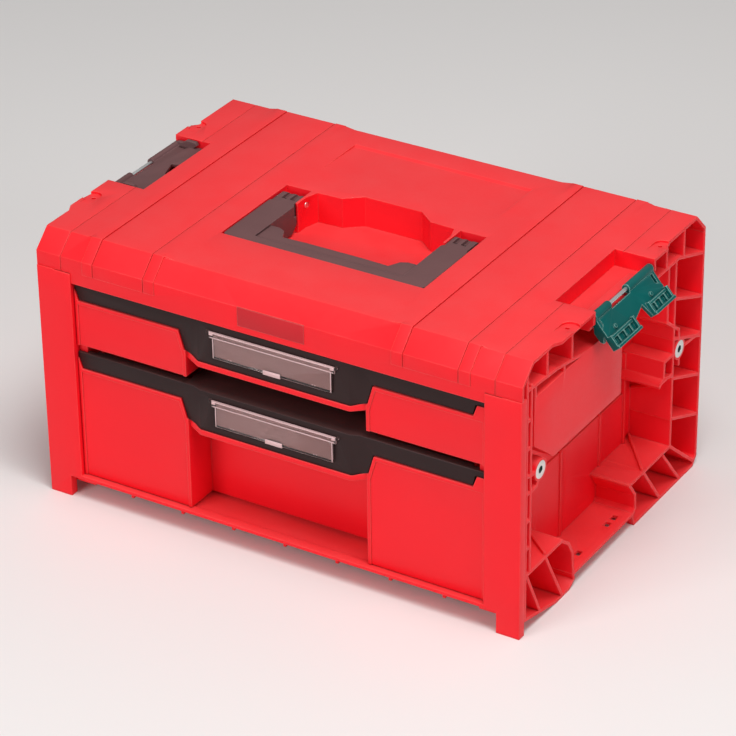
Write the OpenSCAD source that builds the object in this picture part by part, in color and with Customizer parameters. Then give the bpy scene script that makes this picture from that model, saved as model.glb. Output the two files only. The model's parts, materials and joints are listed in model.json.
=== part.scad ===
// Portable tool box with two drawers: a moulded housing with deep ribbed sides,
// two front drawers on guide rails, a fold-flat carrying handle and two side latches.
// X runs right along the front, the front faces -Y and Z is up.
// The origin is at floor level, in the middle of the housing.

/* [Housing] */
// Width over the outer edges of the side ribs
box_w = 450; // [420:1:500]
// Depth from the front pillars to the rear edge
box_d = 310; // [300:1:360]
// Height from the feet to the raised fields of the cover
box_h = 244; // [236:1:280]
// Thickness of the moulded walls
wall_t = 2.5; // [2:0.1:3]
// Thickness of the outer ribs
rib_t = 2.6; // [2:0.1:3]
// Depth of the ribbed recess in each side
side_recess = 38; // [36:0.5:42]
// Width of the front pillars
pillar_w = 32.5; // [30:0.5:36]
// Depth of the front pillars and of the bottom rail
pillar_d = 8; // [7.5:0.1:9]
// Width of the front feet
foot_w = 21; // [16:0.5:26]
// Height of the front feet under the bottom rail
foot_h = 19.5; // [16:0.5:22]
// Height of the bottom rail
rail_h = 3.3; // [3:0.1:4]
// Height of the cover, from its lower edge to the raised fields
cap_h = 39; // [38:0.5:42]

/* [Cover] */
// Thickness of the deck of the cover
deck_t = 2.8; // [2.4:0.1:3.2]
// Height of the raised fields over the deck
band_h = 1.4; // [0.8:0.1:2]
// Height of the raised fields over the front face
band_front_h = 0.8; // [0.5:0.1:1]
// Front chamfer, measured along the depth
chamfer_y = 16.3; // [12:0.1:20]
// Front chamfer, measured along the height
chamfer_z = 15.2; // [12:0.1:20]
// Rear chamfer
rear_chamfer = 17; // [12:0.5:20]
// Distance from the centre line to each raised field
field_in = 110; // [108:0.5:116]
// Distance from each raised field to the side of the cover
field_out = 45; // [44:0.5:50]
// Width of the strips along the edges of a raised field
field_strip = 10; // [8:0.5:14]
// Width of the bare plate on the front of the cover
plate_w = 62; // [40:1:90]
// Height of the bare plate
plate_h = 17; // [12:0.5:18]

/* [Handle] */
// Half width of the handle
handle_x = 94; // [90:0.5:96]
// Front edge of the folded handle, from the centre line
handle_front_y = 78; // [74:0.5:84]
// Pivot axis of the handle, behind the centre line
pivot_y = 9; // [6:0.5:12]
// Width of the handle arms
arm_w = 24.5; // [22:0.5:26]
// Thickness of the handle
handle_t = 12.5; // [11:0.1:13.5]
// Depth of the front bar of the handle, in front of the grip
bar_d = 9.9; // [8:0.1:12]
// Radius of the handle pins
handle_pin_r = 2.5; // [2:0.1:3.2]
// Depth of the finger well under the deck
well_depth = 27.5; // [24:0.5:30]
// Clearance round the folded handle
handle_gap = 1; // [0.6:0.1:1.4]

/* [Side latches] */
// Half length of a latch
latch_y = 48; // [44:0.5:52]
// Middle of a latch, from the centre line
latch_mid_y = 4.5; // [0:0.5:8]
// Reach of a latch from its pin to its hooks
latch_reach = 31; // [28:0.5:32]
// Thickness of the latch plate
latch_t = 3; // [2.6:0.1:3.4]
// Radius of the latch pins
latch_pin_r = 1.6; // [1.3:0.1:2]
// Radius of the latch barrel
barrel_r = 3.6; // [3.4:0.1:4]
// Angle of the opened right latch below the horizontal
latch_open_angle = 50; // [40:1:60]
// Depth of the latch pockets
latch_pocket_depth = 15; // [13:0.5:18]

/* [Drawers] */
// Height of the upper drawer front
upper_front_h = 56.4; // [52:0.2:62]
// Gap over the upper drawer front
top_gap = 1.5; // [1:0.1:2.5]
// Gap between the two drawer fronts
mid_gap = 7; // [6:0.2:10]
// Gap between the drawers and the pillars and rail
front_gap = 0.8; // [0.6:0.1:1.2]
// Gap between a drawer tub and the side walls
tub_gap = 7.5; // [6.5:0.1:9]
// Wall of the drawer tubs
tub_t = 2.5; // [2:0.1:3]
// Gap between a tub and the rear wall
tub_rear_gap = 12; // [10:0.5:20]
// Half width of the recessed middle of a drawer front
niche_x = 84.6; // [80:0.2:90]
// Depth of the recessed middle of a drawer front
niche_d = 30; // [24:0.5:36]
// Set-back of the drawer panels behind the pillars
panel_setback = 4; // [3:0.1:5]
// Height of the dark strip along the top of a drawer front
strip_h = 15.2; // [13:0.1:18]
// Height of the grip in the middle of a drawer front
grip_h = 37; // [34:0.5:40]
// Half width of the flat face of the grip
grip_x = 70.7; // [66:0.2:74]
// Thickness of the grip
grip_t = 3; // [2.4:0.1:3.4]
// Height of the lip under the grip
lip_t = 4.6; // [3.5:0.1:6]
// Drawer travel
travel = 240; // [200:5:246]
// Thickness of the runner flange on each tub
flange_t = 3; // [2.5:0.1:3.5]
// Running clearance of the runner flanges
slide_gap = 0.3; // [0.2:0.05:0.4]
// Height from the tub rim down to the runner flange
flange_drop = 14; // [12:0.5:18]

/* [Label holders] */
// Half width of the clear label cover
label_x = 55.5; // [50:0.5:58]
// Height of the clear label cover
label_h = 23; // [20:0.5:24]
// Distance from the top of the strip to the hinge of the label cover
label_drop = 5.6; // [5:0.1:7]
// Thickness of the clear label cover
label_t = 1.2; // [1:0.1:1.4]
// Radius of the label cover pins
label_pin_r = 0.6; // [0.5:0.05:0.7]
// Thickness of the label card
card_t = 0.5; // [0.3:0.1:0.6]

/* [Fasteners] */
// Radius of the screw bosses in the sides
boss_r = 9.4; // [9.2:0.1:10.4]
// Radius of the boss screw heads
boss_screw_r = 7.6; // [6:0.1:7.8]
// Radius of the shank of the boss screws
boss_shank_r = 3; // [2:0.1:3.5]
// Radius of the heads of the small screws
screw_head_r = 3.4; // [3:0.1:3.8]
// Radius of the shank of the small screws
screw_shank_r = 1.6; // [1.2:0.1:1.8]
// Length of the screws of the base
base_screw_len = 9; // [8:0.5:9.5]
// Length of the screws of the back
back_screw_len = 11; // [9:0.5:12]

/* [Hidden] */
$fn = 48;
eps = 0.01;
red = "#f0302f";
dark = "#3a3030";
brown = "#6a5452";
teal = "#0c5f5a";

// Outer and inner planes of the housing
half_w = box_w / 2;
half_d = box_d / 2;
wall_x = half_w - side_recess;      // outer face of the side walls
inner_x = wall_x - wall_t;          // inner face of the side walls
open_x = half_w - pillar_w;         // half width of the front opening
frame_y = -half_d + pillar_d;       // rear face of the pillars
cap_z = box_h - cap_h;              // lower edge of the cover
deck_z = box_h - band_h;            // top of the deck
deck_low = deck_z - deck_t;         // underside of the deck
face_y = -half_d + band_front_h;    // front face of the cover
rear_y = half_d - wall_t;           // inner face of the rear wall
rail_top = foot_h + rail_h;
pillar_top = cap_z + 9.3;           // the fascia of the cover stands on the pillars
shell_top = deck_z - rear_chamfer - 4;
plate_z = cap_z + 5.6;              // lower edge of the bare plate
floor_z = rail_top - 2.3;           // top of the base floor

// Drawer levels
upper_top = cap_z - top_gap;
upper_z = upper_top - upper_front_h;
lower_top = upper_z - mid_gap;
lower_z = rail_top + front_gap;
upper_h = upper_top - upper_z;
lower_h = lower_top - lower_z;

// Depth stations of a drawer front
ledge_y = -half_d + panel_setback;          // front of the ledge round the panels
panel_y = ledge_y + 1;                      // face of the panels
strip_y = ledge_y + 3.8;                    // face of the dark strip
tub_y = strip_y + grip_t;                   // front of the tub walls
grip_y = -half_d + 2.1;                     // face of the grip
tub_x = inner_x - tub_gap;                  // half width of the tubs
tub_back = rear_y - tub_rear_gap;           // rear of the tubs
niche_y = -half_d + niche_d + 5;            // face of the recessed middle wall
front_x = open_x - front_gap;               // half width of the drawer fronts
panel_back = frame_y - 0.5;                 // rear of the panel flange, clear of the side shells
rim_drop = 2;                               // tub rim below the top of the front
strip_x = front_x - 8.7;                    // half width of the dark strip
label_y = -half_d + 1;                      // hinge axis of the label covers

// Handle and latch levels
handle_top = deck_z - 0.8;
handle_z = handle_top - handle_t;
pivot_z = handle_z + handle_t / 2;
pocket_z = handle_z - handle_gap;
well_z = deck_z - well_depth;
arm_x = handle_x - arm_w;                   // inner edge of the arms
pad_back = handle_front_y - 21.5;           // rear edge of the grip pad at its middle
rim_x = half_w + 4;                         // rim of the deck beside the latches
latch_x = half_w + 0.6;                     // latch hinge axis
latch_z = deck_z - 7.6;
latch_pocket_z = deck_z - latch_pocket_depth;
pocket_in_x = latch_x - latch_reach - 1.2;  // inner side of the latch pockets
pocket_half = latch_y + 2;

// Stations of the ribs in a side recess, along the depth and the height
rear_web_y = half_d - 52;
front_web_y = frame_y + 8;
upper_line_z = box_h - 26;
rear_foot_z = 43;
front_foot_z = 54;
mid_floor_z = 13;
rear_foot_y = 41;
front_foot_y = -66;
front_boss = [frame_y + 23.5, cap_z - 65];
rear_boss = [rear_web_y + 11, cap_z - 74];
boss_points = [front_boss, rear_boss];
wall_step_z = cap_z - 113;                  // top of the thicker lower part of the side wall
side_low = front_boss[1] + 1.5;             // lower edge of the side plate
side_top = cap_z + 4;                       // upper edge of the side plate
side_back = latch_mid_y + 4.5;              // rear edge of the side plate

// Screws of the base and of the back, in lugs of the side walls
lug_x = inner_x - 6;
base_rib_x = [for (i = [-3 : 3]) i * (inner_x - 34.5) / 3];
base_rib_y = [for (i = [0 : 6]) frame_y + 11 + i * (rear_y - frame_y - 29.5) / 6];
base_screw_y = [for (i = [0, 2, 4]) base_rib_y[i] + 23];
back_screw_z = [40, 112, 185] * cap_z / 205;

// ---------------------------------------------------------------- helpers

// Extrudes a (depth, height) outline along the width
module along_x(x0, x1) {
    translate([x0, 0, 0]) rotate([90, 0, 90]) linear_extrude(x1 - x0) children();
}

// Extrudes a (width, height) outline along the depth
module along_y(y0, y1) {
    translate([0, y1, 0]) rotate([90, 0, 0]) linear_extrude(y1 - y0) children();
}

// A box from one corner to the opposite one
module block(low, high) {
    translate(low) cube(high - low);
}

module both_sides() {
    children();
    mirror([1, 0, 0]) children();
}

// Outline of a straight bar of width t, centred on the line from a to b
function bar(a, b, t) = let (run = (b - a) / norm(b - a) * t / 2, side = [-run[1], run[0]])
    [a - run - side, b + run - side, b + run + side, a - run + side];

// A straight rib in a side recess, from (depth, height) a to b
module rib(a, b, x0, x1, t = rib_t) {
    along_x(x0, x1) polygon(bar(a, b, t));
}

// Joins a list of points with ribs
module rib_chain(points, x0, x1, t = rib_t) {
    for (i = [0 : len(points) - 2]) rib(points[i], points[i + 1], x0, x1, t);
}

module rounded_rect(w, h, r) {
    square([w - 2 * r, h], center = true);
    square([w, h - 2 * r], center = true);
    for (sx = [-1, 1], sy = [-1, 1])
        translate([sx * (w / 2 - r), sy * (h / 2 - r)]) circle(r);
}

// A countersunk screw along -Z, its head flush with z = 0, with a plain cross recess
module screw(head_r, shank_r, length) {
    difference() {
        union() {
            translate([0, 0, -1.6]) cylinder(r = head_r, h = 1.6);
            translate([0, 0, -length]) cylinder(r = shank_r, h = length);
        }
        for (a = [0, 90]) rotate([0, 0, a])
            translate([-head_r * 0.55, -head_r * 0.12, -0.9]) cube([head_r * 1.1, head_r * 0.24, 1]);
    }
}

// ---------------------------------------------------------------- top cover

// Outer outline of the cover, grown outwards by g above the deck and f before the face
function cap_outline(g, f) = [
    [face_y - f, cap_z],
    [face_y - f, deck_z - chamfer_z + g * 0.4],
    [face_y + chamfer_y - g * 0.4, deck_z + g],
    [half_d - rear_chamfer + g * 0.4, deck_z + g],
    [half_d, deck_z - rear_chamfer + g * 0.4],
    [half_d, cap_z]];

// The cavity of the cover
cap_inside = [
    [face_y + wall_t, cap_z - eps],
    [face_y + wall_t, deck_z - chamfer_z - 1],
    [face_y + chamfer_y + 0.8, deck_low],
    [half_d - rear_chamfer - 0.8, deck_low],
    [rear_y, deck_z - rear_chamfer - 1],
    [rear_y, cap_z - eps]];

// Broad raised field on each side of the handle, from the front face to the rear chamfer: a
// strip along each edge, a lower middle between two grooves, and slopes from the deck up to it
field_groove = 1;

module raised_field() {
    out_x = half_w - field_out;
    intersection() {
        union() {
            along_x(field_in, field_in + field_strip) polygon(cap_outline(band_h, band_front_h));
            along_x(out_x - field_strip, out_x) polygon(cap_outline(band_h, band_front_h));
            along_x(field_in + field_strip + field_groove, out_x - field_strip - field_groove)
                polygon(cap_outline(band_h * 0.7, band_front_h * 0.7));
        }
        block([field_in - 1, -box_d, cap_z + 11], [half_w, box_d, box_h + 1]);
    }
    along_y(face_y + chamfer_y, half_d - rear_chamfer) {
        polygon([[field_in - 10, deck_z - 1], [field_in + 1, deck_z - 1], [field_in + 1, box_h],
            [field_in, box_h], [field_in - 10, deck_z]]);
        polygon([[out_x - 1, deck_z - 1], [out_x + 7, deck_z - 1], [out_x + 7, deck_z],
            [out_x, box_h], [out_x - 1, box_h]]);
    }
}

arm_end_y = -4;                             // the arms narrow to their roots here
root_in = arm_x + 2.2;                      // inner edge of the roots
root_w = 20.5;
root_gap = 0.7;                             // clearance beside the inner edge of a root
flange_x = arm_x + wall_t + 0.8;            // room for the inner flange of an arm
pocket_x = handle_x + handle_gap;
pocket_front = -handle_front_y - handle_gap;
pocket_back = pivot_y + 12;

// Right half of an outline, joined with its mirror image
function mirrored(half) = concat(half, [for (i = [len(half) - 1 : -1 : 0]) [-half[i][0], half[i][1]]]);

// The finger well, and the block of the cover round it
well_outline = mirrored([[arm_x - 8, -handle_front_y + bar_d + 2], [arm_x - 8, -pad_back + 7],
    [flange_x, -pad_back + 7], [flange_x, arm_end_y], [arm_x - 0.5, arm_end_y],
    [arm_x - 0.5, 8], [arm_x - 4.5, pocket_back], [42, pocket_back + 1],
    [27, pocket_back + 13]]);
well_wall = mirrored([[flange_x + wall_t, -handle_front_y - 4], [flange_x + wall_t, 2],
    [arm_x - 2.5, pocket_back + wall_t], [43, pocket_back + 1 + wall_t],
    [28, pocket_back + 13 + wall_t]]);

// The slot of the bail and its grip pad
pocket_outline = mirrored([[pocket_x, pocket_front], [pocket_x, pocket_back],
    [root_in - root_gap, pocket_back], [root_in - root_gap, arm_end_y], [arm_x - 0.5, arm_end_y],
    [arm_x - 0.5, -pad_back + 14]]);

module handle_pocket_cut() {
    translate([0, 0, well_z]) linear_extrude(box_h) polygon(well_outline);
    translate([0, 0, pocket_z]) linear_extrude(box_h) polygon(pocket_outline);
}

module handle_housing_solid() {
    block([-pocket_x - wall_t, pocket_front - wall_t, pocket_z - wall_t],
        [pocket_x + wall_t, pocket_back + wall_t, deck_low + eps]);
    translate([0, 0, well_z - wall_t]) linear_extrude(deck_low - well_z + wall_t) polygon(well_wall);
}

// Sockets beside the latch pockets, where a box stacked on top is located: each floor
// slopes down from the front to a rounded step at the rear
socket_in_x = half_w - 9.5;
socket_len = 23;
socket_r = 8;
socket_back = [latch_mid_y - 73, latch_mid_y + 83];
socket_depth = 2.4;
peg_r = 2;

// Grown by g to give the cup under the deck
module socket_plan(g, back_y) {
    low_x = socket_in_x - g;
    high_y = back_y + g;
    translate([low_x + socket_r, high_y - socket_r]) circle(socket_r);
    polygon([[low_x, back_y - socket_len], [half_w + 1, back_y - socket_len], [half_w + 1, high_y],
        [low_x + socket_r, high_y], [low_x + socket_r, high_y - socket_r], [low_x, high_y - socket_r]]);
}

module stack_sockets() {
    for (back_y = socket_back) {
        intersection() {
            translate([0, 0, deck_z - box_h / 2]) linear_extrude(box_h) socket_plan(0, back_y);
            along_x(0, box_w) polygon([[back_y - socket_len, deck_z], [back_y, deck_z - socket_depth],
                [back_y, box_h + 1], [back_y - socket_len, box_h + 1]]);
        }
        translate([half_w - 3.5, back_y - 9, deck_low - 1]) cylinder(r = peg_r, h = box_h);
    }
}

module socket_cups() {
    for (back_y = socket_back) translate([0, 0, deck_low - 1.4]) linear_extrude(1.4 + eps)
        intersection() {
            socket_plan(1.4, back_y);
            translate([0, -box_d]) square([half_w, 2 * box_d]);
        }
}

// Fine line along the deck, over the front chamfer and down the front face
line_x = half_w - 24;
line_w = 0.6;
line_depth = 0.5;

module fine_line() {
    along_x(line_x, line_x + line_w) polygon([[face_y - 1, pillar_top - 1],
        [face_y - 1, deck_z - chamfer_z], [face_y + chamfer_y - 1, deck_z + 1],
        [latch_mid_y - pocket_half, deck_z + 1], [latch_mid_y - pocket_half, deck_z - line_depth],
        [face_y + chamfer_y + 0.2, deck_z - line_depth],
        [face_y + line_depth, deck_z - chamfer_z - 0.2], [face_y + line_depth, pillar_top - 1]]);
    block([line_x, latch_mid_y + pocket_half, deck_z - line_depth], [line_x + line_w, box_d, box_h]);
}

module latch_pocket() {
    block([pocket_in_x, latch_mid_y - pocket_half, latch_pocket_z],
        [rim_x + 1, latch_mid_y + pocket_half, box_h + 1]);
}

module latch_pocket_wall() {
    block([pocket_in_x - wall_t, latch_mid_y - pocket_half - wall_t, latch_pocket_z - wall_t],
        [half_w, latch_mid_y + pocket_half + wall_t, deck_low + eps]);
}

// Low broad sill between the pocket and the hinge of a latch
module latch_sill() {
    block([latch_x - 12, latch_mid_y - pocket_half, latch_pocket_z - eps],
        [latch_x - barrel_r - 1, latch_mid_y + pocket_half - 14, latch_z - latch_t / 2 - 0.7]);
}

// The rim of the deck stands out beside a latch, and its end walls carry the latch pin
module latch_rim() {
    low_y = latch_mid_y - pocket_half;
    high_y = latch_mid_y + pocket_half;
    translate([0, 0, deck_low]) linear_extrude(deck_t) polygon([[half_w - 4, low_y - 62],
        [half_w, low_y - 62], [rim_x, low_y - 54], [rim_x, high_y + 24], [half_w, high_y + 30],
        [half_w - 4, high_y + 30]]);
    for (y = [low_y - wall_t, high_y]) along_y(y, y + wall_t) polygon([
        [half_w - 1, latch_pocket_z - wall_t], [half_w, latch_pocket_z - wall_t],
        [half_w + 1, latch_z - 7], [rim_x, latch_z - 3.6], [rim_x, deck_low + eps],
        [half_w - 1, deck_low + eps]]);
}

module top_cover() {
    color(red) difference() {
        union() {
            difference() {
                union() {
                    along_x(-half_w, half_w) polygon(cap_outline(0, 0));
                    both_sides() raised_field();
                }
                along_x(-half_w - 1, half_w + 1) polygon(cap_inside);
                // The fascia stands on the pillars
                both_sides() block([open_x, -box_d, cap_z - 1], [half_w + 1, frame_y, pillar_top]);
                // The rear skirt leaves room for the side shells
                both_sides() block([inner_x, rear_y - 1, cap_z - 1], [half_w + 1, box_d, shell_top]);
            }
            handle_housing_solid();
            both_sides() {
                latch_pocket_wall();
                latch_rim();
                socket_cups();
                // Locating wall on the inner face of the side wall
                along_x(inner_x - wall_t, inner_x) polygon([[face_y + 1, cap_z + 4],
                    [face_y + 1, deck_z - chamfer_z], [face_y + chamfer_y, deck_z - 1],
                    [half_d - rear_chamfer, deck_z - 1], [rear_y - 1, deck_z - rear_chamfer],
                    [rear_y - 1, cap_z + 12]]);
            }
        }
        handle_pocket_cut();
        both_sides() {
            latch_pocket();
            stack_sockets();
            fine_line();
            // Bore of the handle pin, through both walls of the arm slot
            translate([arm_x - 6, pivot_y, pivot_z]) rotate([0, 90, 0])
                cylinder(r = handle_pin_r, h = pocket_x + 1.5 - arm_x + 6);
            // Bores of the latch pin in the ends of the pocket
            translate([latch_x, latch_mid_y - latch_pin_half, latch_z]) rotate([-90, 0, 0])
                cylinder(r = latch_pin_r, h = 2 * latch_pin_half);
        }
        // Shallow tapered recess behind the handle, deepest at the rear
        along_x(-0.38 * box_w / 2, 0.38 * box_w / 2) polygon([[pocket_back + 36, deck_z],
            [half_d - rear_chamfer - 26, deck_z - 1.5], [half_d - rear_chamfer - 23.5, deck_z + 0.1]]);
        // Seat of the bare plate
        block([-plate_w / 2, -box_d, plate_z], [plate_w / 2, face_y + 0.5, plate_z + plate_h]);
    }
    color(red) both_sides() latch_sill();
}

module bare_plate() {
    color("#c3282b") block([-plate_w / 2, face_y - 0.3, plate_z],
        [plate_w / 2, face_y + 0.5, plate_z + plate_h]);
}

// ---------------------------------------------------------------- side shells

half_rib = rib_t / 2;
rib_slant = 0.404;                          // fall of the slanted ribs to the rear
// Height of the inside of the cover above a point of the front chamfer
function under_chamfer(y) = let (run = chamfer_y + 0.8 - wall_t)
    deck_z - chamfer_z - 1 + (y - face_y - wall_t) / run * (deck_low - deck_z + chamfer_z + 1);

shell_outline = [[frame_y, 12], [frame_y, under_chamfer(frame_y)],
    [face_y + chamfer_y + 0.8, deck_low], [half_d - rear_chamfer - 0.8, deck_low],
    [rear_y, deck_z - rear_chamfer - 1], [rear_y, shell_top], [half_d, shell_top],
    [half_d, 8], [half_d - 7, 0], [rear_foot_y - 1, 0], [rear_foot_y - 4.5, mid_floor_z - rib_t],
    [front_foot_y + 2, mid_floor_z - rib_t], [front_foot_y + 3, 6], [front_foot_y - 6, 0],
    [front_foot_y - 28, 0]];

// Edge of the recess: front, feet, floor and rear
front_edge = frame_y + half_rib;
rear_edge = half_d - half_rib;
rim_chain = [[front_edge, under_chamfer(frame_y)], [front_edge, 12 + half_rib],
    [front_foot_y - 28, half_rib], [front_foot_y - 6, half_rib], [front_foot_y + 2, 6],
    [front_foot_y, mid_floor_z - half_rib], [rear_foot_y - 5, mid_floor_z - half_rib],
    [rear_foot_y - 1, half_rib], [half_d - 7.5, half_rib], [rear_edge, 8.5],
    [rear_edge, shell_top - half_rib]];
// Inner walls of the two feet
front_foot_chain = [[front_foot_y, mid_floor_z], [front_foot_y - 2, 34], [front_foot_y - 8.5, 45],
    [front_foot_y - 20, front_foot_z], [frame_y, front_foot_z]];
rear_foot_chain = [[rear_foot_y - 5, mid_floor_z - 3], [rear_foot_y + 0.8, 16], [rear_foot_y, 29],
    [rear_foot_y - 10, rear_foot_z], [rear_web_y, rear_foot_z], [rear_web_y, upper_line_z]];
// Upper line under the deck
upper_chain = [[frame_y, upper_line_z + 2.5], [frame_y + 49, upper_line_z - 1.2],
    [frame_y + 101, side_top - half_rib], [side_back - half_rib, side_top - half_rib],
    [side_back - half_rib, upper_line_z], [rear_web_y + 5, upper_line_z], [rear_edge, cap_z - 2.5]];

// Straight ribs of one side recess, each from one point to the next
recess_ribs = concat([
    // Short ribs over and under the upper line
    [[frame_y + 32, upper_line_z], [frame_y + 32, deck_low]],
    [[frame_y + 72, upper_line_z - 5], [frame_y + 72, deck_low]],
    [[frame_y + 13.8, side_top - 1], [frame_y + 13.8, upper_line_z + 1]],
    [[frame_y + 60, side_top - 1], [frame_y + 60, upper_line_z - 3]],
    [[rear_web_y - 18, upper_line_z], [rear_web_y - 18, deck_low]],
    [[rear_web_y - 48, upper_line_z], [rear_web_y - 48, deck_low]],
    [[rear_web_y + 13, upper_line_z - 3], [rear_web_y + 13, deck_low]],
    // Front column
    [[front_web_y, front_foot_z], [front_web_y, upper_line_z + 4]],
    // Second line in front of the rear web, down to the rear boss
    [[rear_web_y - 13, upper_line_z], [rear_web_y - 13, rear_boss[1] + 36]],
    [[rear_web_y - 13, rear_boss[1] + 36], [rear_boss[0] - 2, rear_boss[1] + 19]],
    [[rear_boss[0] - 2, rear_boss[1] + 19], rear_boss],
    // Corner under the rear boss
    [[rear_web_y - 15.6, rear_boss[1]], rear_boss],
    [[rear_web_y - 15.6, rear_boss[1]], [rear_web_y - 16.2, rear_boss[1] - 15.5]],
    [[rear_web_y - 16.2, rear_boss[1] - 15.5], [rear_web_y - 23, rear_boss[1] - 19.5]],
    [[rear_web_y - 16.2, rear_boss[1] - 15.5], [rear_web_y, rear_boss[1] - 20]],
    [rear_boss, [rear_boss[0], rear_boss[1] - 14]],
    [rear_boss, [rear_edge, rear_boss[1] - 3]],
    // Braces of the feet
    [[front_foot_y - 46, front_foot_z - 2], [front_foot_y - 18, half_rib]],
    [[frame_y + 3, front_foot_z], [front_foot_y - 55, 8]],
    [[rear_foot_y + 14, rear_foot_z], [rear_foot_y + 46, half_rib]],
    [[rear_foot_y + 50, rear_foot_z - 3], [rear_foot_y + 82, half_rib]],
    [[rear_web_y, rear_foot_z], [rear_edge, half_rib]],
    // Ledges beside the front boss
    [[frame_y, front_boss[1] - 12], [front_boss[0] - 6, front_boss[1] - 12]],
    [[front_boss[0] - 6, front_boss[1] - 12], front_boss],
    [[frame_y, front_boss[1] + 4], front_boss]],
    // Cross ribs of the narrow channel behind the pillar
    [for (z = [78, 103, 168, 193]) [[frame_y, z * cap_z / 205], [front_web_y, z * cap_z / 205]]],
    // Slanted ribs from the rear web to the rear edge
    [for (z = [182.6, 145.4, 108.2, 69.7] * cap_z / 205)
        [[rear_web_y, z], [rear_edge, z - rib_slant * (rear_edge - rear_web_y)]]]);

// Flat plate in the outer plane, in front of the latch, and the hollow behind it
side_plate = [[frame_y + 12.5, side_top], [frame_y + 12.5, front_boss[1] + 26],
    [front_boss[0] + 8, front_boss[1] + 11.5], [front_boss[0] + 20, side_low],
    [side_back, side_low], [side_back, side_top]];
side_hollow = [[frame_y + 15.1, side_top - 2.6], [frame_y + 15.1, front_boss[1] + 27.3],
    [front_boss[0] + 9.6, front_boss[1] + 13.5], [front_boss[0] + 21, side_low + 2.6],
    [side_back - 2.6, side_low + 2.6], [side_back - 2.6, side_top - 2.6]];

// The hollow is open to the inside above and below the band that carries the guide rail
module side_plate_hollow() {
    band_z = upper_top - rim_drop - flange_drop - 7;
    difference() {
        along_x(inner_x - 1, half_w - wall_t) polygon(side_hollow);
        block([inner_x - 2, -half_d, band_z], [wall_x, half_d, band_z + 16]);
    }
}

// Sloping shelf under the rear boss, from the wall up to the corner in the rim
module boss_shelf() {
    shelf_z = rear_boss[1] - 18;
    intersection() {
        along_y(rear_web_y - 24, rear_web_y) polygon([[wall_x - eps, shelf_z - 24],
            [half_w, shelf_z - 1], [half_w, shelf_z + 1.5], [wall_x - eps, shelf_z - 21.5]]);
        linear_extrude(box_h) polygon([[wall_x - eps, rear_web_y - 2], [half_w, rear_web_y - 23],
            [half_w, rear_web_y], [wall_x - eps, rear_web_y]]);
    }
}

module side_shell() {
    difference() {
        union() {
            intersection() {
                union() {
                    along_x(inner_x, wall_x) polygon(shell_outline);
                    rib_chain(rim_chain, inner_x, half_w);
                    rib_chain(front_foot_chain, inner_x, half_w);
                    rib_chain(rear_foot_chain, inner_x, half_w);
                    rib_chain(upper_chain, inner_x, half_w);
                    for (ends = recess_ribs) rib(ends[0], ends[1], wall_x - eps, half_w);
                    along_x(wall_x - eps, half_w) polygon(side_plate);
                    // Thicker lower part of the wall, with two flutes
                    block([wall_x - eps, frame_y, mid_floor_z - half_rib],
                        [wall_x + 1.5, rear_web_y - 16, wall_step_z]);
                    for (y = [-23, 44])
                        block([wall_x - eps, y - 1.5, mid_floor_z - half_rib],
                            [wall_x + 3, y + 1.5, wall_step_z + 2]);
                    // Low rib on the wall, in front of the rear boss
                    block([wall_x - eps, rear_web_y - 18, rear_foot_z],
                        [wall_x + 3.5, rear_web_y - 15.5, rear_boss[1]]);
                    boss_shelf();
                    // Low diagonal ribs on top of the two feet
                    translate([0, 0, front_foot_z]) linear_extrude(half_rib + 3)
                        polygon(bar([wall_x + 4, front_foot_y - 20], [half_w - 2, front_foot_y - 46], 2));
                    translate([0, 0, rear_foot_z]) linear_extrude(half_rib + 3)
                        polygon(bar([wall_x + 2, rear_web_y - 5], [half_w - 2, rear_foot_y + 14], 2));
                }
                along_x(inner_x - 1, half_w + 1) polygon(shell_outline);
            }
            inner_lugs();
            for (p = boss_points) translate([wall_x - eps, p[0], p[1]]) rotate([0, 90, 0])
                cylinder(r1 = boss_r + 1.6, r2 = boss_r, h = side_recess + eps);
        }
        side_plate_hollow();
        // Room for the latch pocket of the cover
        block([pocket_in_x - wall_t, latch_mid_y - pocket_half - wall_t, latch_pocket_z - wall_t],
            [half_w + 1, latch_mid_y + pocket_half + wall_t, box_h]);
        // Room for the cups of the sockets
        socket_cups();
        // Screw holes
        for (p = boss_points) translate([0, p[0], p[1]]) rotate([0, 90, 0]) {
            translate([0, 0, half_w - 2]) cylinder(r = boss_screw_r + 0.1, h = 3);
            translate([0, 0, half_w - 24]) cylinder(r = boss_shank_r + 0.05, h = 30);
        }
        // Drain notches in the floor of the recess
        for (y = [-52, -38, 12, 24])
            block([half_w - 13, y - 3.5, mid_floor_z - 9], [half_w - 8, y + 3.5, mid_floor_z + 1]);
        // Holes for the screws of the base and of the back
        for (y = base_screw_y) translate([lug_x, y, 10]) cylinder(r = screw_shank_r, h = 9);
        for (z = back_screw_z) translate([lug_x, rear_y - wall_t - 9, z]) rotate([-90, 0, 0])
            cylinder(r = screw_shank_r, h = 10);
    }
}

// Lugs on the inner face that take the screws of the base and of the back
module inner_lugs() {
    for (y = base_screw_y) block([inner_x - 12, y - 5, 11], [inner_x + eps, y + 5, floor_z - wall_t]);
    for (z = back_screw_z) block([inner_x - 12, rear_y - wall_t - 8, z - 5],
        [inner_x + eps, rear_y - wall_t, z + 5]);
}

module right_side_shell() { color(red) side_shell(); }
module left_side_shell() { color(red) mirror([1, 0, 0]) side_shell(); }

module boss_screw() {
    difference() {
        union() {
            translate([0, 0, -2]) cylinder(r = boss_screw_r, h = 2);
            translate([0, 0, -23]) cylinder(r = boss_shank_r, h = 22);
        }
        translate([0, 0, -1.4]) cylinder(r = boss_screw_r * 0.45, h = 2, $fn = 6);
    }
}

module boss_screws() {
    color("#c9c9c9") both_sides()
        for (p = boss_points) translate([half_w, p[0], p[1]]) rotate([0, 90, 0]) boss_screw();
}

// ---------------------------------------------------------------- front frame, base and back

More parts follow.
